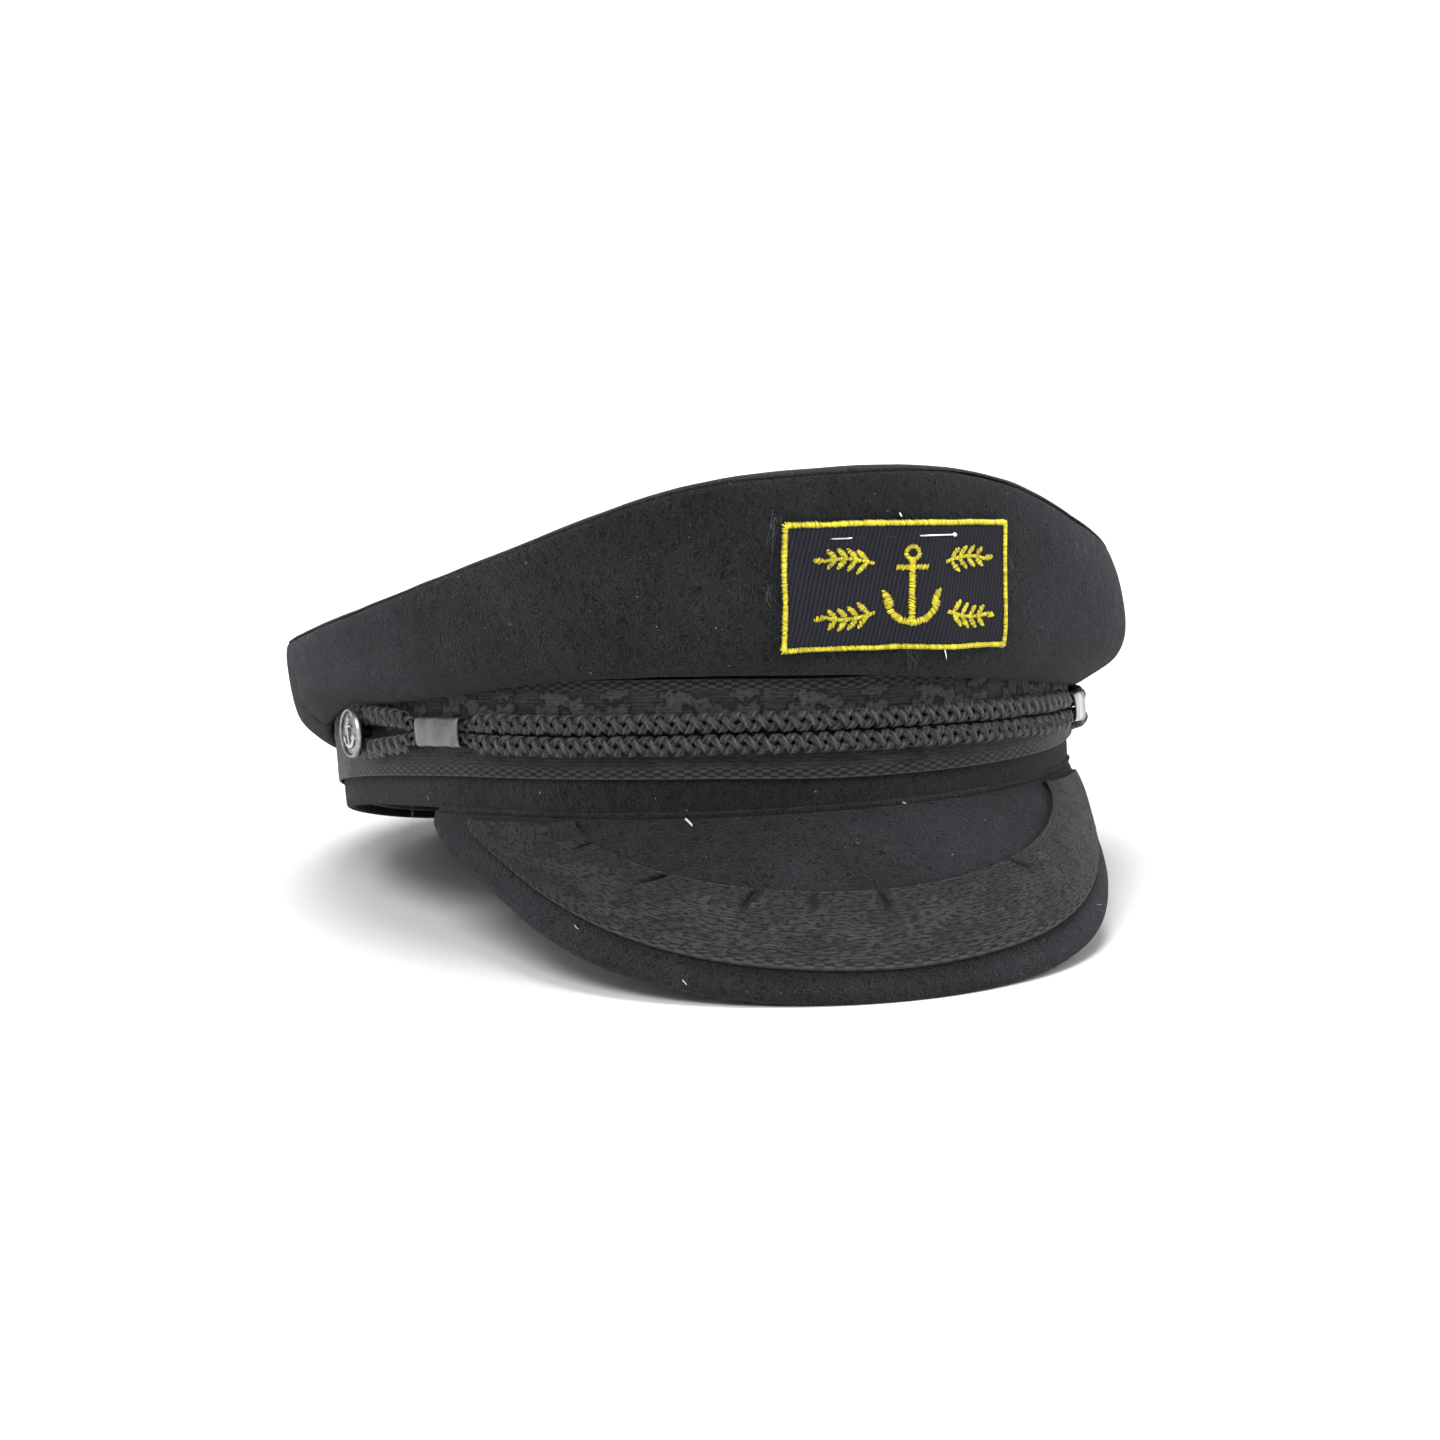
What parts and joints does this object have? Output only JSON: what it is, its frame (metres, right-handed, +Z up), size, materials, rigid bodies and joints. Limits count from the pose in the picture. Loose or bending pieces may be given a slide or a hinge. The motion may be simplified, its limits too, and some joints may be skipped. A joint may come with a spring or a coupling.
{
  "type": "captain cap",
  "caption": "Soft-crowned captain's cap in dark felt with an oak-leaf ribbon round the band, a ribboned peak, a cord held by side buttons and a pinned cloth patch.",
  "frame": {"origin": "centre of the bounding box at the level of the surface that the cap lies on", "axes": "+Z up; the peak points toward -Y; +X is the wearer's left"},
  "size_m": [0.1962, 0.263, 0.1081],
  "materials": {
    "navy_felt": "dense dark navy felt with a short nap",
    "brown_lining": "dull brown woven sweatband",
    "oak_leaf_ribbon": "black jacquard ribbon with raised oak leaves and a soft sheen",
    "knitted_cord": "black knitted cord with a soft sheen",
    "clear_sleeve": "cloudy clear sleeve",
    "aged_nickel": "aged nickel with dark recesses",
    "navy_twill": "navy twill with slanted ribs",
    "yellow_thread": "lemon-yellow satin stitch",
    "pin_steel": "bright steel pin"
  },
  "bodies": {
    "root": {"crown_tip": "navy_felt", "crown_front_panel": "navy_felt", "crown_rear_panel": "navy_felt", "headband": "navy_felt", "sweatband": "brown_lining", "band_ribbon": "oak_leaf_ribbon", "peak": "navy_felt", "peak_ribbon": "oak_leaf_ribbon", "cord_loop": "knitted_cord", "keeper_right": "clear_sleeve", "keeper_left": "clear_sleeve", "button_right": "aged_nickel", "button_left": "aged_nickel", "patch": "navy_twill", "patch_border": "yellow_thread", "pin_top": "pin_steel", "pin_slanted": "pin_steel"}
  },
  "joints": []
}
